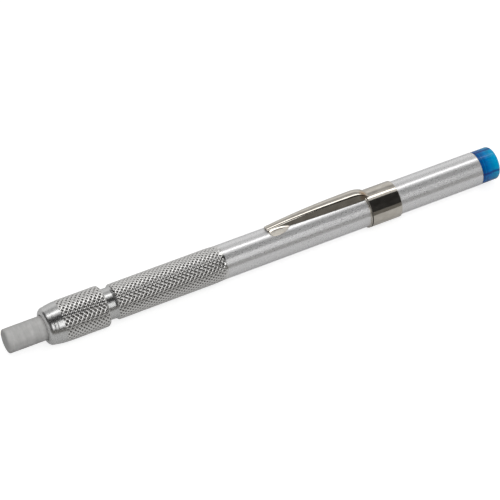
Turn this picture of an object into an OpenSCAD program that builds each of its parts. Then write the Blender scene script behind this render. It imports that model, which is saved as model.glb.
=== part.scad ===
/* [Soapstone stick] */
// Diameter of the round soapstone stick
stick_d = 6.35; // [5.5:0.05:7.5]
// Length of a whole stick
stick_len = 127; // [115:1:150]
// Length left standing out of the nose by a whole stick
stick_out = 10.2; // [6:0.1:14]
// Rounding of the stick's rubbed edges
stick_edge = 0.5; // [0.2:0.05:1]

/* [Barrel] */
// Play around the stick inside the tube, on the radius
stick_play = 0.225; // [0.15:0.025:0.5]
// Wall of the tube
barrel_wall = 1.1; // [0.95:0.05:1.6]
// Height of the grip's diamonds over the bare tube
grip_rise = 0.15; // [0.05:0.05:0.25]
// Length of the knurled grip
grip_len = 29.8; // [20:0.1:40]
// Diamonds counted around the grip
grip_around = 26; // [20:1:32]
// Diamonds counted along the grip
grip_along = 23; // [16:1:28]
// Depth of the knurl's grooves, grip and nut alike
knurl_depth = 0.27; // [0.15:0.01:0.3]
// Length of polished neck that shows behind the nut
neck_show = 2; // [1:0.1:4]
// Length of the turned shoulder between the neck and the grip
shoulder_len = 0.55; // [0.3:0.05:1]

/* [Chuck thread] */
// Wall of the tube under the thread
thread_wall = 0.45; // [0.4:0.05:0.55]
// Advance of the nut in one turn
thread_pitch = 1; // [0.5:0.05:1.2]
// Turns from clamped to the last held thread
nut_turns = 6; // [2:1:7]
// Length of thread still held after the last turn
thread_hold = 1.8; // [1:0.1:2.5]

/* [Chuck nut] */
// Wall of the nut over the barrel's neck
nut_wall = 1.205; // [1:0.005:1.6]
// Length of the nut
nut_len = 16.4; // [16:0.1:22]
// Length of the smooth nose
nose_len = 3.9; // [3.4:0.1:6]
// Length over which the nose's outer edge is rounded
nose_round = 1.4; // [0.8:0.1:2]
// How far the rounding comes in towards the hole
nose_drop = 1.35; // [0.8:0.05:1.4]
// Length over which the nut swells behind the rounding
nose_swell = 5.1; // [3:0.1:6]
// How much the nut swells there, on the radius
nose_rise = 0.48; // [0.2:0.02:0.5]
// Play around the stick in the nose, on the radius
nose_play = 0.15; // [0.1:0.01:0.25]
// Rounding of the nut's rear edge
nut_edge = 0.8; // [0.4:0.05:0.9]
// Diamonds counted around the nut
nut_around = 24; // [20:4:28]
// Diamonds counted along the nut
nut_along = 11; // [9:1:14]

/* [Collet] */
// Length of the nut's inner cone
cone_len = 3.2; // [2.6:0.1:3.6]
// How far back in the cone the collet starts
collet_back = 0.75; // [0.5:0.05:1.2]
// Number of slots that cross the collet
slot_pairs = 2; // [1:1:3]
// Width of a slot
slot_w = 0.5; // [0.3:0.05:0.7]
// Length of the unsplit ring at the collet's rear
ring_len = 1.1; // [0.6:0.1:1.6]

/* [Pocket clip] */
// Thickness of the clip's sheet metal
sheet = 0.42; // [0.3:0.01:0.45]
// Length of the band around the barrel
band_len = 9.1; // [6:0.1:12]
// Distance from the band to the barrel's rear end
band_from_end = 24.8; // [18:0.1:34]
// Length of the arm in front of the band
arm_len = 27.9; // [22:0.1:34]
// Height of the arm's crown over the barrel at the shoulder
arm_rise = 2.15; // [1.8:0.05:2.6]
// How far the crown falls from shoulder to tip
arm_fall = 1.2; // [0.5:0.05:1.3]
// Width of the arm at the band
arm_w = 3.9; // [3.2:0.1:4.4]
// Width of the arm at its tip
tip_w = 2.2; // [1.8:0.1:2.8]
// Length of the two ears at the tip
ear_len = 6; // [4:0.1:8]
// Width over both ears
ear_w = 5.6; // [4:0.1:6]

/* [End plug] */
// How far the plug's head lies below the tube's surface
plug_step = 0.05; // [0:0.01:0.2]
// Length of the plug's head
plug_head = 5.4; // [3.6:0.1:8]
// Rounding of the plug's outer edge
plug_edge = 0.9; // [0.4:0.05:1.5]
// Length of the stem inside the barrel
stem_len = 5.9; // [4:0.1:9]
// Ribs on the stem that grip the bore
stem_ribs = 6; // [3:1:8]
// Height of a rib
rib_rise = 0.25; // [0.15:0.05:0.4]
// Width of a rib
rib_w = 0.8; // [0.5:0.05:1.2]
// Wall of the hollow stem between its ribs
stem_wall = 0.9; // [0.7:0.05:1.3]
// Depth of the hollow behind the barrel's end
hollow_in = 2.9; // [1.4:0.1:3.1]
// Room left between a whole stick and the stem
back_room = 1.65; // [1.3:0.05:3]

/* [Hidden] */
$fn = 96;

// Clearances between pieces, on the radius or along the axis
collet_grip = 0.03;
collet_gap = 0.15;
cone_gap = 0.05;
thread_gap = 0.05;
neck_gap = 0.12;
seat_gap = 0.05;
band_gap = 0.02;
ear_gap = 0.05;
stem_gap = 0.05;

// Overrun of every cut, and how far joined pieces of one body reach into each other
cut_over = 1;
sink = 0.05;

// Diameters, each from the piece that it goes round
neck_step = 0.225;
bore_d = stick_d + 2 * stick_play;
barrel_d = bore_d + 2 * barrel_wall;
grip_d = barrel_d + 2 * grip_rise;
thread_d = bore_d + 2 * thread_wall;
neck_d = thread_d + 2 * neck_step;
relief_d = neck_d + 2 * neck_gap;
nut_d = relief_d + 2 * nut_wall;
nose_bore_d = stick_d + 2 * nose_play;
chamber_d = thread_d + 2 * thread_gap;
collet_d = chamber_d - 2 * collet_gap;
axis_z = nut_d / 2;

// Lengths of the threaded end and of the bare tube, which together hold a whole stick
neck_cover = 1.5;
relief_len = 1.7;
thread_len = thread_pitch * nut_turns + thread_hold;
tube_len = stick_len - stick_out + back_room + stem_len - nut_len - neck_show - shoulder_len - grip_len;

// Places along the holder, whose middle is at zero
total_len = stick_out + nut_len + neck_show + shoulder_len + grip_len + tube_len + plug_head;
tip_x = -total_len / 2;
nose_x = tip_x + stick_out;
knurl_x = nose_x + nose_len;
nut_rear_x = nose_x + nut_len;
neck_x = nut_rear_x + neck_show;
grip_x = neck_x + shoulder_len;
tube_x = grip_x + grip_len;
barrel_end_x = tube_x + tube_len;
plug_end_x = barrel_end_x + plug_head;
band_rear_x = barrel_end_x - band_from_end;
band_x = band_rear_x - band_len;
clip_tip_x = band_x - arm_len;

// Places inside the chuck
nose_land = 0.9;
cone_front_x = nose_x + nose_land;
cone_rear_x = cone_front_x + cone_len;
cone_slope = (chamber_d - nose_bore_d) / 2 / cone_len;
thread_rear_x = nut_rear_x - relief_len;
barrel_front_x = nut_rear_x - neck_cover - thread_len;
collet_front_x = cone_front_x + collet_back;
collet_rear_x = barrel_front_x - seat_gap;

// Turns a profile of [radius, place] points about the holder's axis
module turned(points) {
    translate([0, 0, axis_z])
        rotate([0, 90, 0])
            rotate_extrude()
                polygon(points);
}

// Points of a rounding about a centre, from angle a to angle b, as [radius, place].
// It is rise deep on the radius and run long on the axis, and angle 90 looks outward.
function round_edge(centre_r, centre_x, rise, run, a, b, steps = 8) =
    [for (i = [0 : steps])
        let (t = a + (b - a) * i / steps)
        [centre_r + rise * sin(t), centre_x + run * cos(t)]];

// A bar whose skin is crossed grooves: grid points stand up or lie low by turns, and each
// facet is split along its groove. skin(x, raised) gives the radius at a place along the bar.
module knurled_bar(x, length, around, along, skin) {
    columns = 2 * along;
    spots = 2 * around;
    points = [
        for (k = [0 : columns], m = [0 : spots - 1])
            let (px = x + length * k / columns,
                 raised = (k + m) % 2 == 1,
                 r = skin(px, raised),
                 turn = 360 * m / spots)
            [px, r * sin(turn), axis_z - r * cos(turn)]
    ];
    function at(k, m) = k * spots + m % spots;
    skin_faces = [
        for (k = [0 : columns - 1], m = [0 : spots - 1])
            let (a = at(k, m), b = at(k + 1, m), c = at(k + 1, m + 1), d = at(k, m + 1))
            each ((k + m) % 2 == 0 ? [[a, b, c], [a, c, d]] : [[a, b, d], [b, c, d]])
    ];
    front_face = [for (m = [0 : spots - 1]) at(0, m)];
    rear_face = [for (m = [spots - 1 : -1 : 0]) at(columns, m)];
    polyhedron(points = points, faces = concat(skin_faces, [front_face, rear_face]), convexity = 4);
}

// Tube, threaded end, neck and knurled grip, turned from one bar
module barrel() {
    tube_r = barrel_d / 2;
    bore_r = bore_d / 2;
    top_r = grip_d / 2;
    low_r = top_r - knurl_depth;
    core_r = low_r - knurl_depth / 2;
    thread_edge = 0.4;
    rear_edge = 0.15;
    mouth_edge = 0.25;
    last_column_x = tube_x - grip_len / grip_along / 4;
    function grip_skin(x, raised) =
        x <= grip_x - sink ? low_r - sink / 2 :
        x >= last_column_x ? tube_r - sink / 2 :
        raised ? top_r : low_r;
    color("lightgray")
        difference() {
            union() {
                turned([[0, barrel_front_x], [thread_d / 2 - thread_edge, barrel_front_x],
                        [thread_d / 2, barrel_front_x + thread_edge],
                        [thread_d / 2, barrel_front_x + thread_len],
                        [neck_d / 2, barrel_front_x + thread_len + neck_step],
                        [neck_d / 2, neck_x],
                        [low_r + sink / 2, grip_x], [core_r, grip_x],
                        [core_r, tube_x], [tube_r, tube_x],
                        [tube_r, barrel_end_x - rear_edge], [tube_r - rear_edge, barrel_end_x],
                        [0, barrel_end_x]]);
                knurled_bar(grip_x - sink, grip_len + 2 * sink, grip_around, grip_along,
                            function (x, raised) grip_skin(x, raised));
            }
            turned([[0, barrel_front_x - cut_over], [bore_r + mouth_edge, barrel_front_x - cut_over],
                    [bore_r + mouth_edge, barrel_front_x], [bore_r, barrel_front_x + mouth_edge],
                    [bore_r, barrel_end_x - mouth_edge], [bore_r + mouth_edge, barrel_end_x],
                    [bore_r + mouth_edge, barrel_end_x + cut_over], [0, barrel_end_x + cut_over]]);
        }
}

// Knurled nut with a smooth rounded nose, an inner cone that closes the collet, and the thread
module chuck_nut() {
    top_r = nut_d / 2;
    relief_r = relief_d / 2;
    hole_r = nose_bore_d / 2;
    shoulder_r = top_r - nose_rise;
    shoulder_x = nose_x + nose_round;
    lip = 0.3;
    line_depth = 0.06;
    line_w = 0.2;
    line_shares = [0.36, 0.5];
    swell_share = 2.2;
    function body_r(x) =
        let (ahead = max(0, 1 - (x - shoulder_x) / nose_swell),
             into = max(0, x - nut_rear_x + nut_edge))
        top_r - nose_rise * pow(ahead, swell_share) - nut_edge
            + sqrt(max(0, nut_edge * nut_edge - into * into));
    core_r = body_r(knurl_x) - knurl_depth * 1.5;
    function nut_skin(x, raised) =
        x <= knurl_x ? body_r(knurl_x) - sink :
        let (r = max(body_r(x), relief_r + nut_edge / 2))
        raised ? r : r - knurl_depth * (r - relief_r) / (top_r - relief_r);
    color("silver")
        difference() {
            union() {
                turned(concat(
                    [[0, nose_x]],
                    round_edge(shoulder_r - nose_drop, shoulder_x, nose_drop, nose_round, 180, 90, 10),
                    [for (share = [0.125 : 0.125 : 1])
                        let (x = shoulder_x + (knurl_x - shoulder_x) * share)
                        [body_r(x), x]],
                    [[core_r, knurl_x], [core_r, nut_rear_x - nut_edge], [0, nut_rear_x - nut_edge]]));
                knurled_bar(knurl_x - sink, nut_rear_x - knurl_x + sink, nut_around, nut_along,
                            function (x, raised) nut_skin(x, raised));
            }
            for (share = line_shares)
                let (x = shoulder_x + (knurl_x - shoulder_x) * share,
                     r = body_r(x))
                turned([[r - line_depth, x], [r + line_depth, x - line_w], [r + line_depth, x + line_w]]);
            turned(concat(
                [[0, nose_x - cut_over], [hole_r + lip, nose_x - cut_over]],
                round_edge(hole_r + lip, nose_x + lip, lip, lip, 180, 270),
                [[hole_r, cone_front_x], [chamber_d / 2, cone_rear_x],
                 [chamber_d / 2, thread_rear_x], [relief_r, thread_rear_x + relief_r - chamber_d / 2],
                 [relief_r, nut_rear_x + cut_over], [0, nut_rear_x + cut_over]]));
        }
}

// Split collet: its cone lies in the nut's cone and its rear ring bears on the barrel's end
module collet() {
    inner_r = stick_d / 2 + collet_grip;
    outer_r = collet_d / 2;
    function cone_r(x) = nose_bore_d / 2 - cone_gap + (x - cone_front_x) * cone_slope;
    cone_end_x = cone_front_x + (outer_r + cone_gap - nose_bore_d / 2) / cone_slope;
    color("goldenrod")
        difference() {
            turned([[inner_r, collet_front_x], [cone_r(collet_front_x), collet_front_x],
                    [outer_r, cone_end_x], [outer_r, collet_rear_x], [inner_r, collet_rear_x]]);
            for (i = [0 : slot_pairs - 1])
                translate([collet_front_x - cut_over, 0, axis_z])
                    rotate([180 * (i + 0.5) / slot_pairs, 0, 0])
                        translate([0, -slot_w / 2, -collet_d])
                            cube([collet_rear_x - ring_len - collet_front_x + cut_over, slot_w, 2 * collet_d]);
        }
}

// Plain round stick with rubbed edges
module soapstone_stick() {
    round_r = stick_d / 2 - stick_edge;
    rear_x = tip_x + stick_len;
    color("gainsboro")
        turned(concat(
            [[0, tip_x]],
            round_edge(round_r, tip_x + stick_edge, stick_edge, stick_edge, 180, 90, 6),
            round_edge(round_r, rear_x - stick_edge, stick_edge, stick_edge, 90, 0, 6),
            [[0, rear_x]]));
}

// Lines of the clip's arm. Its shoulder rises over the band, whose front end it runs past at the
// heel, and its edges come down close to the barrel. The curves are powers.
shoulder_run = 3.2;
heel_run = 1.3;
heel_end_share = 0.96;
edge_gap = 0.12;
side_curve_share = 1.6;
crown_curve_share = 2.5;
shoulder_curve_share = 2.2;
shoulder_fall_share = 0.75;
band_r = barrel_d / 2 + band_gap + sheet;

// The arm's half width and crown height at a place, and the height of an edge that stands y out,
// from the holder's axis
function arm_share(x) = min(1, max(0, (band_x - x) / arm_len));
function arm_half(x) = arm_w / 2 - (arm_w - tip_w) / 2 * pow(arm_share(x), side_curve_share);
function arm_crown(x) =
    let (top = barrel_d / 2 + arm_rise,
         ahead = (band_x - shoulder_run - x) / (arm_len - shoulder_run),
         down = (x - band_x + shoulder_run) / (shoulder_run + heel_run))
    ahead >= 0 ? top - arm_fall * pow(ahead, crown_curve_share)
               : band_r + (top - band_r) * pow(1 - pow(down, shoulder_curve_share), shoulder_fall_share);
function arm_edge(y) = sqrt(pow(barrel_d / 2 + edge_gap, 2) - y * y);

// Joins thin rings of points into a closed sheet. Each ring runs out along the sheet's upper side
// and back along its under side, so its end closes with a strip of four-sided faces.
module sheet_loft(rings) {
    count = len(rings[0]);
    last = len(rings) - 1;
    function strip(start, j) = [start + j, start + j + 1, start + count - 2 - j, start + count - 1 - j];
    function turned_round(face) = [for (i = [len(face) - 1 : -1 : 0]) face[i]];
    faces = concat(
        [for (i = [0 : last - 1], j = [0 : count - 1])
             let (a = i * count + j, b = i * count + (j + 1) % count)
             each [[a, b, b + count], [a, b + count, a + count]]],
        [for (j = [0 : count / 2 - 2]) turned_round(strip(0, j))],
        [for (j = [0 : count / 2 - 2]) strip(last * count, j)]);
    polyhedron(points = [for (ring = rings) each ring], faces = faces, convexity = 6);
}

// Channel of the arm, open at the tip and closed down onto the band by its shoulder. Across, it has
// a low arched roof, two rounded corners and two flanks that lean outward to the barrel.
module clip_arm() {
    stations = 26;
    roof_steps = 4;
    corner_steps = 4;
    crowding_share = 1.7;
    lean = 10;
    roof_turn = 27;
    corner_r = 0.5;
    run = arm_len + heel_run * heel_end_share;
    function place(i) = clip_tip_x + run * (1 - pow(1 - i / stations, crowding_share));
    function mid_band(y) = sqrt(pow(band_r - sheet / 2, 2) - y * y);
    function path(x, inset) =
        let (half = arm_half(x),
             crown = arm_crown(x),
             drop = crown - arm_edge(half) - corner_r * (1 - sin(lean)),
             reach = (half - corner_r * cos(lean) - drop * tan(lean))
                     / (sin(roof_turn) - tan(lean) * (1 - cos(roof_turn))),
             foot = half - inset / cos(lean),
             foot_z = inset > 0 ? mid_band(foot) : arm_edge(foot),
             corner = [for (i = [0 : corner_steps])
                           let (t = 90 - lean - (90 - lean - roof_turn) * i / corner_steps)
                           [-reach * sin(roof_turn) - (corner_r - inset) * sin(t),
                            crown - corner_r - reach * (1 - cos(roof_turn)) + (corner_r - inset) * cos(t)]],
             roof = [for (i = [1 : roof_steps - 1])
                         let (t = -roof_turn + 2 * roof_turn * i / roof_steps)
                         [(reach + corner_r - inset) * sin(t),
                          crown - reach - corner_r + (reach + corner_r - inset) * cos(t)]],
             half_path = concat([[-foot, foot_z]], corner),
             mirrored = [for (i = [len(half_path) - 1 : -1 : 0]) [-half_path[i][0], half_path[i][1]]])
        [for (p = concat(half_path, roof, mirrored)) [p[0], inset > 0 ? max(p[1], mid_band(p[0])) : p[1]]];
    sheet_loft([for (i = [0 : stations])
                   let (x = place(i), outside = path(x, 0), inside = path(x, sheet))
                   concat([for (p = outside) [x, p[0], axis_z + p[1]]],
                          [for (j = [len(inside) - 1 : -1 : 0]) [x, inside[j][0], axis_z + inside[j][1]]])]);
}

// Ear that spreads from the arm's edge like a cupped leaf, whose rim lies on the barrel; side is 1 or -1
module clip_ear(side) {
    stations = 12;
    steps = 5;
    ear_back = 0.15;
    least_share = 0.12;
    lead_share = 0.6;
    bulge = 0.35;
    bulge_share = 0.7;
    under_r = barrel_d / 2 + ear_gap;
    function spread(u) = least_share + (1 - least_share) * sin(180 * pow(u, lead_share));
    function leaf(x, from, to, across, swell, rise) =
        let (t = from + (to - from) * across,
             r = under_r + rise + bulge * swell * sin(180 * pow(across, bulge_share)))
        [x, side * r * sin(t), axis_z + r * cos(t)];
    rings = [for (i = [0 : stations])
        let (u = i / stations,
             x = clip_tip_x + ear_back + ear_len * u,
             from = asin((arm_half(x) - sheet) / (under_r + sheet)),
             to = from + (asin(ear_w / 2 / under_r) - from) * spread(u))
        concat([for (j = [0 : steps]) leaf(x, from, to, j / steps, spread(u), sheet)],
               [for (j = [steps : -1 : 0]) leaf(x, from, to, j / steps, spread(u), 0)])];
    sheet_loft(side > 0 ? rings : [for (ring = rings) [for (j = [len(ring) - 1 : -1 : 0]) ring[j]]]);
}

// Band and arm pressed from one sheet, with two ears at the tip
module pocket_clip() {
    hug_r = barrel_d / 2 + band_gap;
    color("dimgray")
        union() {
            turned([[hug_r, band_x], [band_r, band_x], [band_r, band_rear_x], [hug_r, band_rear_x]]);
            clip_arm();
            clip_ear(1);
            clip_ear(-1);
        }
}

// Plug with a rounded head, and a hollow stem whose ribs grip the bore
module end_plug() {
    head_r = barrel_d / 2 - plug_step;
    rib_r = bore_d / 2 - stem_gap;
    stem_r = rib_r - rib_rise;
    hollow_r = stem_r - stem_wall;
    lead = 0.5;
    stem_x = barrel_end_x - stem_len;
    hollow_x = barrel_end_x + hollow_in;
    color("steelblue")
        difference() {
            union() {
                turned([[0, stem_x], [stem_r - lead / 2, stem_x], [stem_r, stem_x + lead],
                        [stem_r, barrel_end_x + sink], [0, barrel_end_x + sink]]);
                intersection() {
                    turned([[0, stem_x + lead], [stem_r, stem_x + lead], [rib_r, stem_x + 2 * lead],
                            [rib_r, barrel_end_x + sink], [0, barrel_end_x + sink]]);
                    for (i = [0 : stem_ribs - 1])
                        translate([stem_x, 0, axis_z])
                            rotate([360 * i / stem_ribs, 0, 0])
                                translate([0, -rib_w / 2, hollow_r])
                                    cube([stem_len + sink, rib_w, bore_d]);
                }
                turned(concat([[0, barrel_end_x], [head_r, barrel_end_x]],
                              round_edge(head_r - plug_edge, plug_end_x - plug_edge, plug_edge, plug_edge, 90, 0),
                              [[0, plug_end_x]]));
            }
            turned([[0, stem_x - cut_over], [hollow_r, stem_x - cut_over],
                    [hollow_r, hollow_x - hollow_r / 2], [hollow_r / 2, hollow_x], [0, hollow_x]]);
        }
}

barrel();
chuck_nut();
collet();
soapstone_stick();
pocket_clip();
end_plug();
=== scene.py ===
# Round soapstone holder: the pieces that show, their finishes, and a plain studio
import math

import bpy
from mathutils import Matrix, Vector, noise


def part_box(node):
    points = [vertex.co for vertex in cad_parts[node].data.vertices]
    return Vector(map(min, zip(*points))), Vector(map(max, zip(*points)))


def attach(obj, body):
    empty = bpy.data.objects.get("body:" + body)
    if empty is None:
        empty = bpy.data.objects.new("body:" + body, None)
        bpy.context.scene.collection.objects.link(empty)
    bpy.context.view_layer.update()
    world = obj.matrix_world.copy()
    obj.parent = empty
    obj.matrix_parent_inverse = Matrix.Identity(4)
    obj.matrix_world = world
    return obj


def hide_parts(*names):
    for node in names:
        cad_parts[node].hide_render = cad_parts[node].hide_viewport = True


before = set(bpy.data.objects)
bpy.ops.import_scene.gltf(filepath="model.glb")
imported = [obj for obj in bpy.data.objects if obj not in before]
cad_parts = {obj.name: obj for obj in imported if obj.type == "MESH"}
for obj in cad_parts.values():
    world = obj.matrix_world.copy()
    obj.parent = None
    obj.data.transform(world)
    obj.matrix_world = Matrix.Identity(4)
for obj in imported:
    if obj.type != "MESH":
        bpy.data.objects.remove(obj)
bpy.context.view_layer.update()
mm = 0.001
hair = 0.02  # millimetres, keeps two skins just apart
scene = bpy.context.scene


# Lowest and highest corner of a node, in millimetres
def span(node):
    low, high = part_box(node)
    return low / mm, high / mm


nutLow, nutHigh = span("chuck_nut")
barrelLow, barrelHigh = span("barrel")
stickLow, stickHigh = span("soapstone_stick")
clipLow, clipHigh = span("pocket_clip")
plugLow, plugHigh = span("end_plug")
axisZ = (nutLow.z + nutHigh.z) / 2
print("frame read, holder", round(plugHigh.x - stickLow.x, 2), "mm long")


# Points (x, r) of a rounding about (x, r); angle 90 looks outward
def arc(x, r, run, rise, start, end, steps):
    turns = [math.radians(start + (end - start) * i / steps) for i in range(steps + 1)]
    return [(x + run * math.cos(t), r + rise * math.sin(t)) for t in turns]


def smooth(t):
    t = min(1.0, max(0.0, t))
    return t * t * (3 - 2 * t)


# A place round the holder's axis; turn 0 looks up to the clip
def onAxis(x, r, turn):
    return (x * mm, r * math.sin(turn) * mm, (axisZ + r * math.cos(turn)) * mm)


# Makes a mesh piece that rides on a body and stands for a CAD node
def addPiece(name, points, faces, body, node, looks, slots=None):
    mesh = bpy.data.meshes.new(name)
    mesh.from_pydata(points, [], faces)
    for look in looks:
        mesh.materials.append(look)
    if slots:
        mesh.polygons.foreach_set("material_index", slots)
    mesh.polygons.foreach_set("use_smooth", [True] * len(faces))
    mesh.validate()
    mesh.update()
    piece = bpy.data.objects.new(name, mesh)
    scene.collection.objects.link(piece)
    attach(piece, body)
    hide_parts(node)
    return piece


# Keeps creases above an angle crisp and the rest smooth, with long faces left flat
def sharpen(piece, degrees):
    bpy.context.view_layer.objects.active = piece
    piece.select_set(True)
    bpy.ops.object.shade_smooth_by_angle(angle=math.radians(degrees), keep_sharp_edges=True)
    piece.select_set(False)
    flat = piece.modifiers.new("flatLongFaces", "WEIGHTED_NORMAL")
    flat.keep_sharp = True


# Rounds the edges of a sheet that turn by more than an angle
def roundEdges(piece, width, degrees):
    bevel = piece.modifiers.new("roundedEdges", "BEVEL")
    bevel.width = width * mm
    bevel.segments = 3
    bevel.limit_method = "ANGLE"
    bevel.angle_limit = math.radians(degrees)


# Spins (x, r) points about the axis, where r = 0 makes a pole. swell(x, r, turn) may change a radius,
# and slotOf(x, r) gives the material slot of the faces behind a point.
def turned(profile, columns, closed=True, slotOf=None, swell=None):
    points, rings, faces, slots = [], [], [], []
    for x, r in profile:
        if r < 1e-6:
            rings.append([len(points)] * columns)
            points.append(onAxis(x, 0, 0))
            continue
        rings.append(list(range(len(points), len(points) + columns)))
        for k in range(columns):
            turn = 2 * math.pi * k / columns
            points.append(onAxis(x, swell(x, r, turn) if swell else r, turn))
    for i in range(len(profile) if closed else len(profile) - 1):
        a, b = rings[i], rings[(i + 1) % len(rings)]
        for k in range(columns):
            n = (k + 1) % columns
            face = [a[k], b[k], b[n], a[n]]
            face = [v for j, v in enumerate(face) if v != face[j - 1]]
            if len(face) > 2:
                faces.append(face)
                slots.append(slotOf(*profile[i]) if slotOf else 0)
    return points, faces, slots


# Faces between rows of points that each run round and close on themselves
def wrapFaces(rows, columns):
    return [(i * columns + k, (i + 1) * columns + k,
             (i + 1) * columns + (k + 1) % columns, i * columns + (k + 1) % columns)
            for i in range(rows) for k in range(columns)]


# A skin round the axis whose radius is skin(x, turn)
def sleeve(start, end, rows, columns, skin):
    points = []
    for i in range(rows + 1):
        x = start + (end - start) * i / rows
        for k in range(columns):
            turn = 2 * math.pi * k / columns
            points.append(onAxis(x, skin(x, turn), turn))
    return points, wrapFaces(rows, columns)


# Joins closed rings of points, and closes both ends with strips across the sheet
def loft(rings):
    count = len(rings[0])
    points = [p for ring in rings for p in ring]
    faces = wrapFaces(len(rings) - 1, count)
    last = (len(rings) - 1) * count
    for start, back in ((0, False), (last, True)):
        for j in range(count // 2 - 1):
            strip = [start + j, start + j + 1, start + count - 2 - j, start + count - 1 - j]
            faces.append(strip[::-1] if back else strip)
    return points, faces


# Height of a rolled knurl: rounded crests where either run of ridges passes, diamond hollows between
def knurlHeight(lines, along, turn):
    share = turn / (2 * math.pi)
    one = lines["alongOne"] * along + lines["aroundOne"] * share
    two = lines["alongTwo"] * along - lines["aroundTwo"] * share
    return math.sin(math.pi / 2 * max(abs(2 * (run % 1.0) - 1) for run in (one, two)))


# Noise round the axis, for a knurl that fades out with a ragged end
def raggedEnd(turn, sizes):
    reach = sizes["raggedReach"]
    return noise.noise(Vector((reach * math.cos(turn), reach * math.sin(turn), sizes["raggedSeed"])))


# Finishes

def newFinish(name, colour, roughness, metallic):
    finish = bpy.data.materials.new(name)
    finish.use_nodes = True
    tree = finish.node_tree
    shader = tree.nodes["Principled BSDF"]
    shader.inputs["Base Color"].default_value = (*colour, 1)
    shader.inputs["Roughness"].default_value = roughness
    shader.inputs["Metallic"].default_value = metallic
    finish.diffuse_color = (*colour, 1)
    return finish, tree, shader


# Object coordinates divided by a size in millimetres, one for each axis
def place(tree, size, stretch=(1, 1, 1), origin=(0, 0, 0)):
    spot = tree.nodes.new("ShaderNodeTexCoord")
    scaled = tree.nodes.new("ShaderNodeMapping")
    scaled.inputs["Scale"].default_value = [1 / (size * mm * s) for s in stretch]
    scaled.inputs["Location"].default_value = [-o / (size * s) for o, s in zip(origin, stretch)]
    tree.links.new(spot.outputs["Object"], scaled.inputs["Vector"])
    return scaled.outputs["Vector"]


# Noise whose patches are about size millimetres across
def speckle(tree, size, stretch=(1, 1, 1), detail=3.0, rough=0.55):
    patch = tree.nodes.new("ShaderNodeTexNoise")
    patch.inputs["Scale"].default_value = 1.0
    patch.inputs["Detail"].default_value = detail
    patch.inputs["Roughness"].default_value = rough
    tree.links.new(place(tree, size, stretch), patch.inputs["Vector"])
    return patch.outputs["Fac"]


# Distance from scattered points, in cells of about size millimetres
def scatter(tree, size, stretch=(1, 1, 1)):
    cells = tree.nodes.new("ShaderNodeTexVoronoi")
    cells.inputs["Scale"].default_value = 1.0
    tree.links.new(place(tree, size, stretch), cells.inputs["Vector"])
    return cells.outputs["Distance"]


# Turns a number into colours or greys at the given stops
def ramp(tree, source, stops):
    node = tree.nodes.new("ShaderNodeValToRGB")
    while len(node.color_ramp.elements) < len(stops):
        node.color_ramp.elements.new(0.5)
    for element, (spot, value) in zip(node.color_ramp.elements, stops):
        element.position = spot
        element.color = (*value, 1) if isinstance(value, tuple) else (value, value, value, 1)
    tree.links.new(source, node.inputs["Fac"])
    return node.outputs["Color"]


def maths(tree, operation, first, second):
    node = tree.nodes.new("ShaderNodeMath")
    node.operation = operation
    for socket, value in zip(node.inputs, (first, second)):
        if isinstance(value, (int, float)):
            socket.default_value = value
        else:
            tree.links.new(value, socket)
    return node.outputs[0]


# One colour darkened or tinted by another
def multiplyColours(tree, first, second):
    node = tree.nodes.new("ShaderNodeMix")
    node.data_type = "RGBA"
    node.blend_type = "MULTIPLY"
    node.inputs[0].default_value = 1.0
    tree.links.new(first, node.inputs[6])
    tree.links.new(second, node.inputs[7])
    return node.outputs[2]


# Bump of about depth millimetres
def relief(tree, shader, source, depth):
    bump = tree.nodes.new("ShaderNodeBump")
    bump.inputs["Strength"].default_value = 1.0
    bump.inputs["Distance"].default_value = depth * mm
    tree.links.new(source, bump.inputs["Height"])
    tree.links.new(bump.outputs["Normal"], shader.inputs["Normal"])


# Varies an input of the shader with a pattern, which has a value at each stop
def vary(tree, shader, socket, pattern, stops):
    tree.links.new(ramp(tree, pattern, stops), shader.inputs[socket])


# Colour from dark to light with one pattern, and roughness with another
def darkToLight(tree, shader, look, pattern, wear):
    vary(tree, shader, "Base Color", pattern, [(0.3, look["dark"]), (0.6, look["light"])])
    vary(tree, shader, "Roughness", wear, [(0.3, look["rough"][0]), (0.7, look["rough"][1])])


# Reflections on a turned surface, whose fine grooves run round the axis, blur along it
def blurAlong(tree, shader, amount):
    around = tree.nodes.new("ShaderNodeTangent")
    around.direction_type = "RADIAL"
    around.axis = "X"
    tree.links.new(around.outputs[0], shader.inputs["Tangent"])
    shader.inputs["Anisotropic"].default_value = amount
    shader.inputs["Anisotropic Rotation"].default_value = 0.25


def satinAluminium():
    look = {"dark": (0.85, 0.845, 0.85), "light": (0.91, 0.905, 0.905), "rough": (0.26, 0.37),
            "metal": 0.74, "grain": 0.26, "grainDepth": 0.0035, "dents": 8, "dentDark": (0.5, 0.5, 0.51),
            "alongBlur": 0.85}
    finish, tree, shader = newFinish("satinAluminium", look["light"], 0.36, look["metal"])
    grain = speckle(tree, look["grain"], (1.8, 1, 1), 4.0, 0.62)
    base = ramp(tree, grain, [(0.34, look["dark"]), (0.54, look["light"])])
    cells = scatter(tree, look["dents"], (1.6, 1, 1))
    dents = ramp(tree, cells, [(0.015, look["dentDark"]), (0.03, (1, 1, 1))])
    tree.links.new(multiplyColours(tree, base, dents), shader.inputs["Base Color"])
    vary(tree, shader, "Roughness", grain, [(0.36, look["rough"][0]), (0.62, look["rough"][1])])
    relief(tree, shader, grain, look["grainDepth"])
    blurAlong(tree, shader, look["alongBlur"])
    return finish


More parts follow.
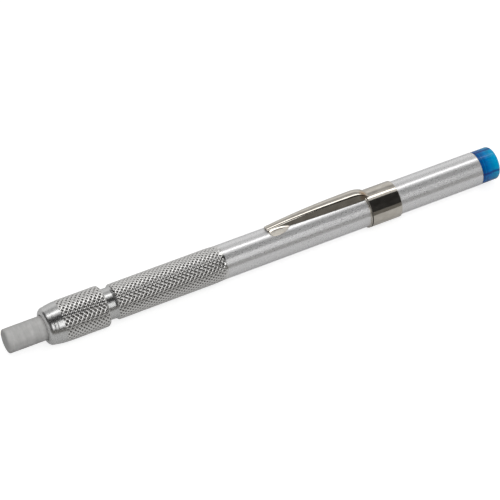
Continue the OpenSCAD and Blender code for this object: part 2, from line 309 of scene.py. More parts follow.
def turnedAluminium():
    look = {"dark": (0.7, 0.7, 0.695), "light": (0.8, 0.8, 0.79), "rough": (0.22, 0.33), "lineWidth": 0.07,
            "lineDepth": 0.0012, "grain": 0.5, "alongBlur": 0.35}
    finish, tree, shader = newFinish("turnedAluminium", look["light"], 0.22, 1.0)
    lines = speckle(tree, look["lineWidth"], (1, 60, 60), 2.0)
    darkToLight(tree, shader, look, lines, speckle(tree, look["grain"], (1, 1, 1), 2.0))
    relief(tree, shader, lines, look["lineDepth"])
    blurAlong(tree, shader, look["alongBlur"])
    return finish


def cutEdge():
    look = {"dark": (0.62, 0.56, 0.45), "light": (0.8, 0.74, 0.62), "rough": (0.3, 0.5), "grain": 0.3}
    finish, tree, shader = newFinish("cutEdge", look["light"], 0.4, 1.0)
    grain = speckle(tree, look["grain"])
    darkToLight(tree, shader, look, grain, grain)
    return finish


# Painted shade on a knurl: light on the crests, darkening down the sides into the pits, by the height that
# each point of a knurled mesh carries
def knurledAluminium():
    look = {"pit": (0.12, 0.115, 0.108), "side": (0.56, 0.55, 0.535), "crest": (0.93, 0.92, 0.9),
            "rough": (0.4, 0.2), "grain": 0.2, "wear": 0.3}
    finish, tree, shader = newFinish("knurledAluminium", look["side"], 0.25, 1.0)
    height = tree.nodes.new("ShaderNodeAttribute")
    height.attribute_name = "knurlHeight"
    wear = maths(tree, "MULTIPLY", speckle(tree, look["grain"]), look["wear"])
    # The knurl's height with a little wear noise, which sets the painted shade
    worn = maths(tree, "SUBTRACT", maths(tree, "ADD", height.outputs["Fac"], wear), look["wear"] / 2)
    # Painted shade: the lower a point lies in the knurl, the darker its colour
    stops = [(0.38, look["pit"]), (0.66, look["side"]), (0.95, look["crest"])]
    vary(tree, shader, "Base Color", worn, stops)
    vary(tree, shader, "Roughness", worn, [(0.3, look["rough"][0]), (0.9, look["rough"][1])])
    return finish


def soapstone():
    look = {"dark": (0.38, 0.376, 0.368), "mid": (0.455, 0.451, 0.443), "light": (0.545, 0.541, 0.533),
            "rough": (0.62, 0.85), "mottle": 1.3, "bandWidth": 0.7, "bandShare": 0.5, "depth": 0.02,
            "glow": 0.15, "glowReach": 0.5, "glowColour": (0.6, 0.55, 0.5)}
    finish, tree, shader = newFinish("soapstoneGrey", look["mid"], 0.75, 0.0)
    mottle = speckle(tree, look["mottle"], (1, 1.2, 1.2), 5.0, 0.6)
    band = speckle(tree, look["bandWidth"], (1, 12, 12), 3.0)
    mix = tree.nodes.new("ShaderNodeMix")
    mix.inputs["Factor"].default_value = look["bandShare"]
    tree.links.new(mottle, mix.inputs["A"])
    tree.links.new(band, mix.inputs["B"])
    stops = [(0.3, look["dark"]), (0.5, look["mid"]), (0.68, look["light"])]
    vary(tree, shader, "Base Color", mix.outputs["Result"], stops)
    vary(tree, shader, "Roughness", mottle, [(0.3, look["rough"][0]), (0.7, look["rough"][1])])
    relief(tree, shader, mottle, look["depth"])
    shader.inputs["Subsurface Weight"].default_value = look["glow"]
    shader.inputs["Subsurface Radius"].default_value = look["glowColour"]
    shader.inputs["Subsurface Scale"].default_value = look["glowReach"] * mm
    return finish


# Bright nickel on pressed sheet, with a brown stain at the arm's heel; the stain lies at stainX from
# the clip's rear end, stainY to the side and stainZ over the axis
def nickelPlate(name, rough, metallic):
    look = {"dark": (0.64, 0.595, 0.53), "light": (0.8, 0.755, 0.68), "stain": (0.72, 0.5, 0.3),
            "stainX": -9.5, "stainY": -0.9, "stainZ": 5.2, "stainSize": 1.5, "haze": 1.1, "fine": 0.12,
            "fineDepth": 0.0008}
    finish, tree, shader = newFinish(name, look["light"], rough[0], metallic)
    haze = speckle(tree, look["haze"], (2, 1, 1), 3.0)
    fine = speckle(tree, look["fine"], (4, 1, 1), 2.0)
    base = ramp(tree, haze, [(0.25, look["dark"]), (0.6, look["light"])])
    away = tree.nodes.new("ShaderNodeVectorMath")
    away.operation = "LENGTH"
    heel = (clipHigh.x + look["stainX"], look["stainY"], axisZ + look["stainZ"])
    tree.links.new(place(tree, look["stainSize"], origin=heel), away.inputs[0])
    stain = ramp(tree, away.outputs["Value"], [(0.3, look["stain"]), (1.0, (1, 1, 1))])
    tree.links.new(multiplyColours(tree, base, stain), shader.inputs["Base Color"])
    vary(tree, shader, "Roughness", haze, [(0.3, rough[0]), (0.75, rough[1])])
    relief(tree, shader, fine, look["fineDepth"])
    return finish


# Painted shade in the groove behind the band's bead, a dull dark finish
def paintedGrooveShade():
    look = {"dark": (0.06, 0.055, 0.05), "light": (0.14, 0.13, 0.115), "rough": (0.5, 0.7), "grain": 0.4}
    finish, tree, shader = newFinish("paintedGrooveShade", look["light"], 0.6, 0.0)
    grain = speckle(tree, look["grain"])
    darkToLight(tree, shader, look, grain, grain)
    return finish


def brass():
    look = {"dark": (0.6, 0.43, 0.18), "light": (0.75, 0.58, 0.28), "rough": (0.2, 0.38),
            "lineWidth": 0.05, "lineDepth": 0.002}
    finish, tree, shader = newFinish("colletBrass", look["light"], 0.3, 1.0)
    lines = speckle(tree, look["lineWidth"], (1, 50, 50), 2.0)
    darkToLight(tree, shader, look, lines, lines)
    relief(tree, shader, lines, look["lineDepth"])
    return finish


# Clear blue plastic with painted light and shade: painted shade deep at the joint, where the dark bore
# lies behind, and painted light paler towards its end, as if lit through from behind; painted shade makes
# it darker towards the bottom; and it has a dark streak at each quarter turn
def bluePlastic():
    look = {"joint": (0.0, 0.11, 0.38), "line": (0.0, 0.23, 0.6), "middle": (0.0, 0.23, 0.58),
            "end": (0.0, 0.43, 0.76), "under": (0.1, 0.12, 0.45), "streak": (0.2, 0.28, 0.5),
            "streakFrom": -86, "streakSway": 0.12, "swaySize": 1.6, "cloud": 3.2, "rough": (0.05, 0.12),
            "clear": 0.35, "shine": 0.25, "bendsLight": 1.49}
    finish, tree, shader = newFinish("bluePlastic", look["middle"], 0.08, 0.0)
    head = plugHigh.x - barrelHigh.x
    spot = tree.nodes.new("ShaderNodeSeparateXYZ")
    tree.links.new(place(tree, head, origin=(barrelHigh.x, 0, axisZ)), spot.inputs[0])
    # Along the head: painted shade at the joint and painted light towards the end
    stops = [(0.02, look["joint"]), (0.14, look["joint"]), (0.18, look["line"]), (0.22, look["joint"]),
             (0.45, look["middle"]), (0.8, look["end"])]
    along = ramp(tree, spot.outputs["X"], stops)
    # Painted shade, darker towards the bottom
    low = maths(tree, "ADD", maths(tree, "MULTIPLY", spot.outputs["Z"], 0.9), 0.8)
    under = ramp(tree, low, [(0.1, look["under"]), (0.5, (1, 1, 1))])
    shade = multiplyColours(tree, along, under)
    turn = maths(tree, "ARCTAN2", spot.outputs["Y"], spot.outputs["Z"])
    turn = maths(tree, "SUBTRACT", turn, math.radians(look["streakFrom"]))
    turn = maths(tree, "DIVIDE", turn, math.pi / 2)
    apart = maths(tree, "PINGPONG", maths(tree, "ADD", turn, 8), 0.5)
    sway = maths(tree, "SUBTRACT", speckle(tree, look["swaySize"]), 0.5)
    sway = maths(tree, "MULTIPLY", sway, look["streakSway"])
    streak = ramp(tree, maths(tree, "ADD", apart, sway), [(0.03, look["streak"]), (0.08, (1, 1, 1))])
    tree.links.new(multiplyColours(tree, shade, streak), shader.inputs["Base Color"])
    cloud = speckle(tree, look["cloud"], (1, 1, 1), 2.0)
    vary(tree, shader, "Roughness", cloud, [(0.3, look["rough"][0]), (0.7, look["rough"][1])])
    shader.inputs["Transmission Weight"].default_value = look["clear"]
    shader.inputs["Specular IOR Level"].default_value = look["shine"]
    shader.inputs["IOR"].default_value = look["bendsLight"]
    return finish


finishes = {"satin": satinAluminium(), "turned": turnedAluminium(), "edge": cutEdge(),
            "knurl": knurledAluminium(), "stone": soapstone(),
            "nickel": nickelPlate("nickelPlate", (0.06, 0.15), 1.0),
            "ear": nickelPlate("nickelPlateDull", (0.32, 0.42), 0.45),
            "groove": paintedGrooveShade(), "brass": brass(), "blue": bluePlastic()}
print("finishes made:", len(finishes))


# Gives each point of a knurled sleeve its height, for the finish's painted shade; it is 1 where the knurl
# has faded out
def setKnurlHeights(piece, start, end, rows, columns, lines, origin, share):
    heights = []
    for i in range(rows + 1):
        x = start + (end - start) * i / rows
        for k in range(columns):
            turn = 2 * math.pi * k / columns
            heights.append(1 - share(x, turn) * (1 - knurlHeight(lines, x - origin, turn)))
    layer = piece.data.attributes.new("knurlHeight", "FLOAT", "POINT")
    layer.data.foreach_set("value", heights)


# Barrel: tube, neck, thread and knurled grip

neckShow, shoulderLen, gripLen = 2.0, 0.55, 29.8
neckX = nutHigh.x + neckShow
barrelSizes = {"tubeR": 4.5, "boreR": 3.4, "neckR": 4.075, "edge": 0.15, "boreLead": 0.25, "rearLead": 0.3,
               "frontLead": 0.3, "frontDrop": 0.2, "neckStep": 0.22, "fillet": 0.12,
               "threadR": 3.85, "threadLen": 7.8, "pitch": 1.0, "threadDepth": 0.32, "runOut": 0.2,
               "threadIn": 0.7, "threadOut": 0.5, "threadLead": 0.5, "flatShare": 0.15,
               "gripX": neckX + shoulderLen, "tubeX": neckX + shoulderLen + gripLen, "gripR": 4.65,
               "shoulderR": 4.36, "knurlDepth": 0.26, "chamfer": 0.4, "chamferFrom": 0.1, "taper": 3.2,
               "taperPast": 0.3, "sunk": 0.1, "tuck": 0.9, "skinFrom": 0.06, "skinPast": 1.2,
               "satinPast": 0.5, "fadeFrom": 0.35, "fadeLen": 1.3, "ragged": 0.7, "raggedReach": 6,
               "raggedSeed": 0.3}
gripLines = {"alongOne": 0.72, "aroundOne": 28, "alongTwo": 0.83, "aroundTwo": 23}


# How much of the knurl's full depth a place on the grip has
def gripShare(x, turn):
    b = barrelSizes
    return smooth((b["tubeX"] + b["fadeFrom"] + b["ragged"] * raggedEnd(turn, b) - x) / b["fadeLen"])


def gripSkin(x, turn):
    b = barrelSizes
    front = smooth((x - b["gripX"] + b["chamferFrom"]) / b["chamfer"])
    high = smooth((b["tubeX"] + b["taperPast"] - x) / b["taper"])
    top = b["tubeR"] + (b["gripR"] - b["tubeR"]) * high - (b["gripR"] - b["shoulderR"]) * (1 - front)
    height = knurlHeight(gripLines, x - b["gripX"], turn)
    return top - b["knurlDepth"] * gripShare(x, turn) * (1 - height)


def makeBarrel():
    b = barrelSizes
    front, end = barrelLow.x, barrelHigh.x
    under = b["gripR"] - b["knurlDepth"] - b["sunk"]  # the tube goes on a little below the knurl
    root = b["threadR"] - b["threadDepth"]
    threadEnd = front + b["threadLen"]
    profile = ([(front, b["boreR"] + b["boreLead"]), (front, root - b["frontDrop"]),
                (front + b["frontLead"], root), (threadEnd - b["runOut"], root), (threadEnd, b["threadR"]),
                (threadEnd + b["neckStep"], b["neckR"])]
               + arc(neckX, b["neckR"] + b["fillet"], b["fillet"], b["fillet"], 270, 300, 3)
               + [(b["gripX"] - b["skinFrom"] / 2, b["shoulderR"]), (b["gripX"], under),
                  (b["tubeX"] - b["tuck"], under), (b["tubeX"] + b["taperPast"], b["tubeR"] - hair),
                  (b["tubeX"] + b["tuck"], b["tubeR"])]
               + arc(end - b["edge"], b["tubeR"] - b["edge"], b["edge"], b["edge"], 90, 0, 5)
               + [(end, b["boreR"] + b["rearLead"]), (end - b["boreLead"], b["boreR"]),
                  (front + b["boreLead"], b["boreR"])])

    def slotOf(x, r):
        if x < b["gripX"]:
            return 1
        return 2 if x > end - b["edge"] - 0.01 else 0

    points, faces, slots = turned(profile, 128, True, slotOf)
    tube = addPiece("barrelTube", points, faces, "barrel", "barrel",
                    [finishes["satin"], finishes["turned"], finishes["edge"]], slots)
    sharpen(tube, 28)

    rows, columns = 376, 392
    start, stop = b["gripX"] - b["skinFrom"], b["tubeX"] + b["skinPast"]
    points, faces = sleeve(start, stop, rows, columns, gripSkin)
    satinX = b["tubeX"] + b["satinPast"]
    slots = [1 if start + (stop - start) * (i // columns) / rows > satinX else 0
             for i in range(len(faces))]
    grip = addPiece("barrelGrip", points, faces, "barrel", "barrel",
                    [finishes["knurl"], finishes["satin"]], slots)
    setKnurlHeights(grip, start, stop, rows, columns, gripLines, b["gripX"], gripShare)

    # Crests and roots are cut flat, and the thread fades in and out at its ends
    def threadSkin(x, turn):
        cut = abs(2 * ((x / b["pitch"] - turn / (2 * math.pi)) % 1.0) - 1)
        cut = min(1.0, max(0.0, (1 + 2 * b["flatShare"]) * cut - b["flatShare"]))
        fade = smooth((x - front) / b["threadIn"]) * smooth((threadEnd - x) / b["threadOut"] + 0.2)
        crest = b["threadR"] - b["threadLead"] * (1 - smooth((x - front) / b["threadLead"]))
        return crest - b["threadDepth"] * fade * cut

    points, faces = sleeve(front + hair, threadEnd - hair, 110, 96, threadSkin)
    addPiece("barrelThread", points, faces, "barrel", "barrel", [finishes["turned"]])


makeBarrel()
print("barrel made")


# Chuck nut: rounded nose, knurl, inner cone and thread

nutSizes = {"noseLen": 3.9, "noseUnder": 0.4, "round": 1.4, "drop": 1.35, "swell": 5.1, "rise": 0.48,
            "bend": 2.2, "topR": nutHigh.y, "holeR": 3.325, "lip": 0.3, "land": 0.9, "coneLen": 3.2,
            "chamberR": 3.9, "reliefR": 4.195, "reliefLen": 1.7, "reliefLead": 0.3, "edge": 0.8,
            "rimBack": 0.06, "rimOuter": 0.25, "rimInner": 0.12, "rimLead": 0.1, "knurlDepth": 0.29,
            "sunk": 0.12, "coreFrom": 0.75, "skinFrom": 0.45, "skinEnd": 0.015, "skinDip": 0.03,
            "lines": (1.75, 2.6), "lineDepth": 0.04, "lineWidth": 0.12, "fadeFrom": 0.35, "fadeLen": 0.9,
            "rimShare": 0.25, "rimFade": 0.5, "ragged": 0.5, "raggedReach": 5, "raggedSeed": 4.7}
nutLines = {"alongOne": 0.9, "aroundOne": 25, "alongTwo": 0.8, "aroundTwo": 21}


# Radius of the nut's body at x, without its knurl
def nutOutline(x):
    n = nutSizes
    ahead = max(0.0, 1 - (x - nutLow.x - n["round"]) / n["swell"])
    into = max(0.0, x - nutHigh.x + n["edge"])
    return (n["topR"] - n["rise"] * ahead ** n["bend"] - n["edge"]
            + math.sqrt(max(0.0, n["edge"] ** 2 - into ** 2)))


# How much of the knurl's full depth a place on the nut has
def nutShare(x, turn):
    n = nutSizes
    ahead = x - nutLow.x - n["noseLen"] + n["fadeFrom"] + n["ragged"] * raggedEnd(turn, n)
    rim = smooth((nutHigh.x - x - 0.05) / n["rimFade"])
    return smooth(ahead / n["fadeLen"]) * (n["rimShare"] + (1 - n["rimShare"]) * rim)


def nutSkin(x, turn):
    n = nutSizes
    share = nutShare(x, turn)
    height = knurlHeight(nutLines, x - nutLow.x, turn)
    dip = n["skinDip"] * (1 - min(1.0, 3 * share))  # the skin dips under the nose before the knurl
    return nutOutline(min(x, nutHigh.x - hair)) - dip - n["knurlDepth"] * share * (1 - height)


def makeNut():
    n = nutSizes
    x0, x1 = nutLow.x, nutHigh.x
    shoulderR = nutOutline(x0 + n["round"])
    nose = []
    steps = 60
    for i in range(steps + 1):
        at = n["round"] + (n["noseLen"] + n["noseUnder"] - n["round"]) * i / steps
        cut = sum(n["lineDepth"] * max(0.0, 1 - abs(at - line) / n["lineWidth"]) for line in n["lines"])
        nose.append((x0 + at, nutOutline(x0 + at) - cut))
    core = nutOutline(x0 + n["noseLen"]) - n["knurlDepth"] - n["sunk"]
    profile = (arc(x0 + n["lip"], n["holeR"] + n["lip"], n["lip"], n["lip"], 270, 190, 8)
               + arc(x0 + n["round"], shoulderR - n["drop"], n["round"], n["drop"], 174, 92, 18)
               + nose
               + [(x0 + n["noseLen"] + n["coreFrom"], core), (x1 - n["edge"], core),
                  (x1 - n["rimBack"], n["reliefR"] + n["rimOuter"]), (x1, n["reliefR"] + n["rimInner"]),
                  (x1 - n["rimLead"], n["reliefR"]),
                  (x1 - n["reliefLen"] + n["reliefLead"], n["reliefR"]),
                  (x1 - n["reliefLen"], n["chamberR"]),
                  (x0 + n["land"] + n["coneLen"], n["chamberR"]), (x0 + n["land"], n["holeR"])])
    points, faces, slots = turned(profile, 160)
    body = addPiece("nutBody", points, faces, "chuck_nut", "chuck_nut",
                    [finishes["turned"]], slots)
    sharpen(body, 32)

    rows, columns = 168, 400
    start, stop = x0 + n["noseLen"] - n["skinFrom"], x1 - n["skinEnd"]
    points, faces = sleeve(start, stop, rows, columns, nutSkin)
    knurl = addPiece("nutKnurl", points, faces, "chuck_nut", "chuck_nut",
                     [finishes["knurl"]])
    setKnurlHeights(knurl, start, stop, rows, columns, nutLines, x0, nutShare)


makeNut()
print("chuck nut made")


# Soapstone stick

stickSizes = {"r": 3.175, "edge": 0.55, "flat": (1.0, 1.9), "rings": 39, "ringStep": 0.35, "chip": 0.05,
              "chipPitch": 0.8, "grain": 0.012, "grainPitch": 3.0, "wornLen": 12, "wornShare": 0.3,
              "endFade": 0.6}


# The stick's skin is drawn in by chips, the most at the tip, where it marks
def makeStick():
    s = stickSizes
    x0, x1 = stickLow.x, stickHigh.x
    profile = ([(x0, 0)] + [(x0, r) for r in s["flat"]]
               + arc(x0 + s["edge"], s["r"] - s["edge"], s["edge"], s["edge"], 180, 90, 10)
               + [(x0 + s["edge"] + s["ringStep"] * i, s["r"]) for i in range(1, s["rings"] + 1)]
               + arc(x1 - s["edge"], s["r"] - s["edge"], s["edge"], s["edge"], 90, 0, 6) + [(x1, 0)])
    points, faces, slots = turned(profile, 128, False)
    worn = []
    for x, y, z in points:
        spot = Vector((x, y, z - axisZ * mm)) / mm
        chips = s["chip"] * max(0.0, noise.noise(spot * s["chipPitch"]))
        wear = chips + s["grain"] * abs(noise.noise(spot * s["grainPitch"]))
        tip = 1 - smooth((spot.x - x0) / s["wornLen"])
        pull = 1 - wear * (s["wornShare"] + (1 - s["wornShare"]) * tip) / s["r"]
        back = wear * mm * (1 - smooth((spot.x - x0) / s["endFade"]))
        worn.append((x + back, y * pull, (axisZ + spot.z * pull) * mm))
    addPiece("stickBody", worn, faces, "soapstone_stick", "soapstone_stick",
             [finishes["stone"]], slots)


makeStick()
print("stick made")


# Pocket clip: band, arched arm and two ears from one sheet

bandLen = 9.1
clipSizes = {"sheet": 0.42, "bandX": clipHigh.x - bandLen, "bandGap": 0.02, "armRise": 2.15,
             "armFall": 1.2, "armW": 3.9, "tipW": 2.2, "sideBend": 1.6, "lean": 10, "roofTurn": 27,
             "cornerR": 0.5, "shoulderRun": 3.2, "heelRun": 1.3, "heelEnd": 0.96, "edgeGap": 0.12,
             "crownBend": 2.5, "shoulderBend": 2.2, "shoulderFall": 0.75, "crowding": 1.7, "edge": 0.1,
             "earBack": 0.15, "earLen": 6.0, "earMost": 0.4, "earW": 5.45, "earGap": 0.05, "earRim": 0.1,
             "earHigh": 0.6, "earIn": 0.1, "earEnds": 0.04, "earBend": 0.9, "ledgeTurn": 24,
             "faceTurn": 45, "bendIn": 0.4, "bendOut": 0.22, "ledgePoints": 7,
             "bead": 0.3, "beadEdge": 0.03, "groove": 0.17, "grooveRise": 0.08, "rearEdge": 0.12}
tubeR = barrelSizes["tubeR"]
bandR = tubeR + clipSizes["bandGap"] + clipSizes["sheet"]
armLen = clipSizes["bandX"] - clipLow.x


def armHalf(x):
    c = clipSizes
    share = min(1.0, max(0.0, (c["bandX"] - x) / armLen))
    return c["armW"] / 2 - (c["armW"] - c["tipW"]) / 2 * share ** c["sideBend"]


def armCrown(x):
    c = clipSizes
    top = tubeR + c["armRise"]
    ahead = (c["bandX"] - c["shoulderRun"] - x) / (armLen - c["shoulderRun"])
    down = (x - c["bandX"] + c["shoulderRun"]) / (c["shoulderRun"] + c["heelRun"])
    if ahead >= 0:
        return top - c["armFall"] * ahead ** c["crownBend"]
    return bandR + (top - bandR) * max(0.0, 1 - down ** c["shoulderBend"]) ** c["shoulderFall"]


# Height over the axis, at y from the middle, of a surface r from the axis
def overAxis(r, y):
    return math.sqrt(r * r - y * y)


# Section of the arm at x, from edge to edge: a flank, a rounded corner, the low roof, and the same back
def armPath(x, inset):
    c = clipSizes
    lean, roofTurn, cornerR = math.radians(c["lean"]), math.radians(c["roofTurn"]), c["cornerR"]
    half, crown = armHalf(x), armCrown(x)
    cornerSteps, roofSteps = 8, 12
    drop = crown - overAxis(tubeR + c["edgeGap"], half) - cornerR * (1 - math.sin(lean))
    reach = ((half - cornerR * math.cos(lean) - drop * math.tan(lean))
             / (math.sin(roofTurn) - math.tan(lean) * (1 - math.cos(roofTurn))))
    middleY, middleZ = -reach * math.sin(roofTurn), crown - cornerR - reach * (1 - math.cos(roofTurn))
    foot = half - inset / math.cos(lean)
    side = [(-foot, overAxis(bandR - c["sheet"] / 2 if inset else tubeR + c["edgeGap"], foot))]
    for i in range(cornerSteps + 1):
        t = math.pi / 2 - lean - (math.pi / 2 - lean - roofTurn) * i / cornerSteps
        side.append((middleY - (cornerR - inset) * math.sin(t), middleZ + (cornerR - inset) * math.cos(t)))
    roof, roofR = [], reach + cornerR - inset
    for i in range(1, roofSteps):
        t = -roofTurn + 2 * roofTurn * i / roofSteps
        roof.append((roofR * math.sin(t), crown - reach - cornerR + roofR * math.cos(t)))
    path = side + roof + [(-y, z) for y, z in reversed(side)]
    if not inset:
        return path
    return [(y, max(z, overAxis(bandR - c["sheet"] / 2, y))) for y, z in path]


def makeArm():
    c = clipSizes
    stations = 90
    run = armLen + c["heelRun"] * c["heelEnd"]
    rings = []
    for i in range(stations + 1):
        x = clipLow.x + run * (1 - (1 - i / stations) ** c["crowding"])  # closer together at the heel
        ring = armPath(x, 0) + armPath(x, c["sheet"])[::-1]
        rings.append([(x * mm, y * mm, (axisZ + z) * mm) for y, z in ring])
    points, faces = loft(rings)
    arm = addPiece("clipArm", points, faces, "barrel", "pocket_clip", [finishes["nickel"]])
    roundEdges(arm, c["edge"], 50)
    sharpen(arm, 40)


# Points of the ear's outer side in a section, as (y, z) from the axis: a ledge that leaves the arm's
# flank, a tight bend, and a face that comes down to the barrel. spread is 0 to 1.
def earPath(x, spread):
    c = clipSizes
    half = armHalf(x)
    foot = overAxis(tubeR + c["edgeGap"], half)
    rimR = tubeR + c["earGap"] + c["earRim"]
    rimTurn = math.asin(half / rimR) + (math.asin(c["earW"] / 2 / rimR) - math.asin(half / rimR)) * spread
    high = Vector((half - c["earIn"], foot + c["earHigh"] * spread + hair))
    rim = Vector((rimR * math.sin(rimTurn), rimR * math.cos(rimTurn)))
    ledge, fall = math.radians(c["ledgeTurn"]), math.radians(c["faceTurn"])
    out = rim - high
    along = (out.x * math.sin(fall) + out.y * math.cos(fall)) / math.sin(fall - ledge)
    knee = high + Vector((math.cos(ledge), -math.sin(ledge))) * max(0.05, along)
    before, after = knee.lerp(high, c["bendIn"]), knee.lerp(rim, c["bendOut"])
    bendSteps, faceSteps = 8, 5
    bend = []
    for i in range(bendSteps + 1):
        t = i / bendSteps
        bend.append(before * (1 - t) ** 2 + knee * 2 * t * (1 - t) + after * t * t)
    face = [after.lerp(rim, i / faceSteps) for i in range(1, faceSteps + 1)]
    return [high, high.lerp(before, 0.5)] + bend + face


# An ear that spreads from the arm's edge like a leaf, with its rim on the barrel
def makeEar(side):
    c = clipSizes
    stations = 44
    rings = []
    for i in range(stations + 1):
        u = i / stations
        x = clipLow.x + c["earBack"] + c["earLen"] * u
        apart = (u - c["earMost"]) / (1 - c["earMost"] if u > c["earMost"] else c["earMost"])
        spread = (1 - apart ** 2) ** c["earBend"] if apart > 0 else math.sqrt(1 + apart ** 3)
        spread = c["earEnds"] + (1 - c["earEnds"]) * spread
        outside, inside = [], []
        for spot in earPath(x, spread):
            r, turn = spot.length, math.atan2(spot.x, spot.y)
            outside.append(onAxis(x, r, side * turn))
            inside.append(onAxis(x, max(r - c["sheet"], tubeR + c["earGap"]), side * turn))
        ring = outside + inside[::-1]
        rings.append(ring if side > 0 else ring[::-1])
    points, faces = loft(rings)
    name = "clipEarLeft" if side > 0 else "clipEarRight"
    count = len(rings[0])
    first = 0 if side > 0 else count - 1 - c["ledgePoints"]
    ledge = range(first, first + c["ledgePoints"])
    slots = [0 if i < stations * count and i % count in ledge else 1 for i in range(len(faces))]
    ear = addPiece(name, points, faces, "barrel", "pocket_clip",
                   [finishes["nickel"], finishes["ear"]], slots)
    roundEdges(ear, c["edge"], 50)
    sharpen(ear, 40)


# The band, with a bead at its front edge and painted shade in the groove behind the bead
def makeBand():
    c = clipSizes
    x0, x1 = c["bandX"], clipHigh.x
    low, bead, rear = tubeR + c["bandGap"], c["bead"] / 2, c["rearEdge"]
    grooveX = x0 + c["bead"] + c["beadEdge"]
    grooveEnd = grooveX + c["groove"]
    profile = (arc(x0 + bead, bandR - bead, bead, bead, 180, 30, 8)
               + [(grooveX, bandR - c["groove"]), (grooveEnd, bandR - c["groove"]),
                  (grooveEnd + c["grooveRise"], bandR), (x1 - 2, bandR)]
               + arc(x1 - rear, bandR - rear, rear, rear, 90, 0, 6) + [(x1, low), (x0, low)])

    # The groove's faces take the painted shade
    def slotOf(x, r):
        return 1 if grooveX - 2 * c["beadEdge"] < x < grooveEnd + c["grooveRise"] / 2 else 0

    points, faces, slots = turned(profile, 160, True, slotOf)
    band = addPiece("clipBand", points, faces, "barrel", "pocket_clip",
                    [finishes["nickel"], finishes["groove"]], slots)
    sharpen(band, 30)


makeArm()
makeEar(1)
makeEar(-1)
makeBand()
print("pocket clip made")


# End plug, with ribs on its stem

plugSizes = {"headR": 4.45, "edge": 0.9, "jointEdge": 0.05, "flatR": 2.0, "headRings": (1.5, 3),
             "stemR": 3.1, "ribR": 3.35, "ribs": 6, "ribTurn": 7.0, "lead": 0.5, "leadDrop": 0.25,
             "hollowR": 2.2, "hollowIn": 2.9}


def makePlug():
    p = plugSizes
    x0, joint, x1 = plugLow.x, barrelHigh.x, plugHigh.x
    profile = ([(x0, p["hollowR"]), (x0, p["stemR"] - p["leadDrop"]), (x0 + p["lead"], p["stemR"] - 0.001),
                (x0 + 2 * p["lead"], p["stemR"]), (joint - hair, p["stemR"]),
                (joint, p["headR"] - p["jointEdge"]), (joint + p["jointEdge"], p["headR"])]
               + [(joint + along, p["headR"]) for along in p["headRings"]]
               + arc(x1 - p["edge"], p["headR"] - p["edge"], p["edge"], p["edge"], 90, 0, 12)
               + [(x1, p["flatR"]), (x1, 0)])

    # Only points exactly at the stem's radius are drawn out to a rib, so its lead and joint stay round
    def rib(x, r, turn):
        if r != p["stemR"]:
            return r
        apart = abs((math.degrees(turn) * p["ribs"] / 360 + 0.5) % 1.0 - 0.5) * 360 / p["ribs"]
        return p["ribR"] if apart < p["ribTurn"] else r

    points, faces, slots = turned(profile, 144, False, swell=rib)
    hollowEnd = joint + p["hollowIn"]
    hollow = [(hollowEnd, 0), (hollowEnd, p["hollowR"] / 2), (hollowEnd - p["hollowR"] / 2, p["hollowR"]),
              (x0, p["hollowR"])]
    hollowPoints, hollowFaces, hollowSlots = turned(hollow, 144, False)
    faces += [[v + len(points) for v in face] for face in hollowFaces]
    plug = addPiece("plugBody", points + hollowPoints, faces, "barrel", "end_plug",
                    [finishes["blue"]], slots + hollowSlots)
    sharpen(plug, 30)


makePlug()
print("end plug made")

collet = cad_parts["collet"]
collet.data.materials.clear()
collet.data.materials.append(finishes["brass"])


# Studio, in metres: pale floor, two softboxes and a fill, dark cards, the sky, and the camera

studio = {"floor": 4.0, "floorColour": (0.44, 0.44, 0.44), "glowSeen": 0.75, "glowInMetal": 0.1,
          "cardColour": (0.08, 0.08, 0.08), "cardAway": 1.3, "cardHalf": 1.8, "cardTo": -14,
          "clothColour": (0.16, 0.155, 0.145), "clothNear": 0.018, "lift": 0.0004,
          "endAway": 0.6, "endFrom": 0.2, "endTo": 1.1, "endHalf": 0.9}
# Angle from straight up towards +Y, and how bright the sky is there
skyLevels = [(-180, 0.55), (0, 0.55), (22, 0.45), (29, 0.36), (37, 0.37), (46, 0.6), (54, 0.7), (70, 0.6),
             (95, 0.5), (180, 0.5)]
# Name, angle as above, distance, width, length, middle along X, light, and whether metal shows it
lamps = [
    ("topSoftbox", 5, 0.75, 0.14, 1.3, 0.15, 1.55, True),
    ("frontSoftbox", -68, 0.8, 0.48, 0.42, 0.012, 1.35, True),
    ("frontFill", -45, 0.9, 0.6, 1.2, 0.0, 2.5, False),
]


def makeFloor():
    half = studio["floor"]
    corners = [(-half, -half, 0), (half, -half, 0), (half, half, 0), (-half, half, 0)]
    mesh = bpy.data.meshes.new("floor")
    mesh.from_pydata(corners, [], [(0, 1, 2, 3)])
    floor = bpy.data.objects.new("floor", mesh)
    scene.collection.objects.link(floor)
    finish, tree, shader = newFinish("paleFloor", studio["floorColour"], 0.9, 0.0)
    shader.inputs["Specular IOR Level"].default_value = 0.0
    path = tree.nodes.new("ShaderNodeLightPath")
    seen = maths(tree, "MAXIMUM", path.outputs["Is Camera Ray"], path.outputs["Is Transmission Ray"])
    inMetal = maths(tree, "MULTIPLY", path.outputs["Is Glossy Ray"], studio["glowInMetal"])
    level = maths(tree, "MAXIMUM", maths(tree, "MULTIPLY", seen, studio["glowSeen"]), inMetal)
    shader.inputs["Emission Color"].default_value = (1, 1, 1, 1)
    tree.links.new(level, shader.inputs["Emission Strength"])
    mesh.materials.append(finish)


def makeLamps():
    for name, angle, distance, width, length, middle, light, seen in lamps:
        data = bpy.data.lights.new(name, "AREA")
        data.shape = "RECTANGLE"
        data.size, data.size_y = length, width
        data.energy = light * math.pi * width * length
        lamp = bpy.data.objects.new(name, data)
        scene.collection.objects.link(lamp)
        t = math.radians(angle)
        away = Vector((0, math.sin(t), math.cos(t)))
        side = Vector((1, 0, 0))
        lamp.matrix_world = Matrix((
            (*side, 0), (*away.cross(side), 0), (*away, 0), (0, 0, 0, 1))).transposed()
        lamp.location = away * distance + Vector((middle, 0, axisZ * mm))
        lamp.visible_camera = False
        lamp.visible_glossy = seen


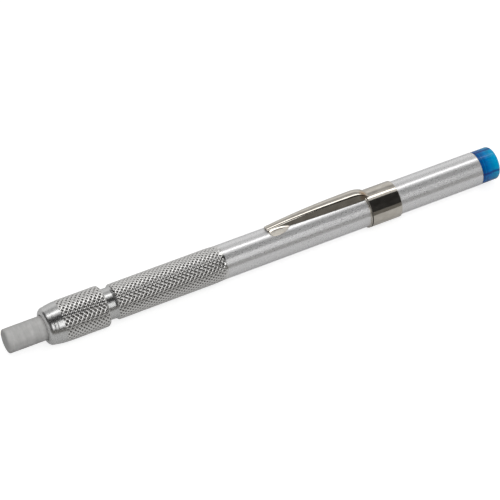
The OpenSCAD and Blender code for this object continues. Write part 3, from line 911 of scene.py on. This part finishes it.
# A dark card from points in metres; where only reflections meet it, it casts no shadow
def makeCard(name, colour, points, faces, onlyReflected=False):
    mesh = bpy.data.meshes.new(name)
    mesh.from_pydata(points, [], faces)
    card = bpy.data.objects.new(name, mesh)
    scene.collection.objects.link(card)
    finish, _, shader = newFinish(name, colour, 1.0, 0.0)
    shader.inputs["Specular IOR Level"].default_value = 0.0
    mesh.materials.append(finish)
    card.visible_camera = False
    if onlyReflected:
        card.visible_diffuse = False
        card.visible_transmission = False
        card.visible_shadow = False


# A dark card that arches up behind the camera, a dark cloth on the floor before it, and a dark card
# past the tip
def makeCards():
    s = studio
    steps = 24
    turns = [math.radians(-90 + (s["cardTo"] + 90) * i / steps) for i in range(steps + 1)]
    points = [(side * s["cardHalf"], math.sin(t) * s["cardAway"], math.cos(t) * s["cardAway"] + s["lift"])
              for t in turns for side in (-1, 1)]
    faces = [(2 * i, 2 * i + 1, 2 * i + 3, 2 * i + 2) for i in range(steps)]
    makeCard("darkCard", s["cardColour"], points, faces)
    points = [(side * s["cardHalf"], -y, s["lift"])
              for y in (s["clothNear"], s["cardAway"]) for side in (-1, 1)]
    makeCard("darkCloth", s["clothColour"], points, [(0, 1, 3, 2)], True)
    points = [(-s["endAway"], side * s["endHalf"], z)
              for z in (s["endFrom"], s["endTo"]) for side in (-1, 1)]
    makeCard("darkEnd", s["cardColour"], points, [(0, 1, 3, 2)], True)


# Sky whose level changes with the angle from straight up towards +Y
def makeWorld():
    world = bpy.data.worlds.new("studioWorld")
    scene.world = world
    world.use_nodes = True
    tree = world.node_tree
    toward = tree.nodes.new("ShaderNodeTexCoord")
    parts = tree.nodes.new("ShaderNodeSeparateXYZ")
    tree.links.new(toward.outputs["Generated"], parts.inputs[0])
    turn = maths(tree, "ARCTAN2", parts.outputs["Y"], parts.outputs["Z"])
    turn = maths(tree, "ADD", maths(tree, "DIVIDE", turn, 2 * math.pi), 0.5)
    level = ramp(tree, turn, [(0.5 + angle / 360, value) for angle, value in skyLevels])
    tree.links.new(level, tree.nodes["Background"].inputs["Color"])
    tree.nodes["Background"].inputs["Strength"].default_value = 1.0


def makeCamera():
    view = {"azimuth": -22.925, "elevation": 34.814, "roll": -6.659, "distance": 595.638,
            "aim": (-1.628, 1.361, 4.820), "lens": 167.68}
    a, e = math.radians(view["azimuth"]), math.radians(view["elevation"])
    back = Vector((math.sin(a) * math.cos(e), -math.cos(a) * math.cos(e), math.sin(e)))
    level = Vector((math.cos(a), math.sin(a), 0))
    upright = back.cross(level)
    t = math.radians(view["roll"])
    right = level * math.cos(t) + upright * math.sin(t)
    up = back.cross(right)
    data = bpy.data.cameras.new("photoCamera")
    data.lens = view["lens"]
    data.sensor_width = 36
    data.clip_start, data.clip_end = 0.01, 20
    camera = bpy.data.objects.new("photoCamera", data)
    scene.collection.objects.link(camera)
    camera.matrix_world = Matrix(((*right, 0), (*up, 0), (*back, 0), (0, 0, 0, 1))).transposed()
    camera.location = (Vector(view["aim"]) + back * view["distance"]) * mm
    scene.camera = camera


makeFloor()
makeLamps()
makeCards()
makeWorld()
makeCamera()
scene.view_settings.view_transform = "Standard"
print("studio made")

bpy.context.view_layer.update()
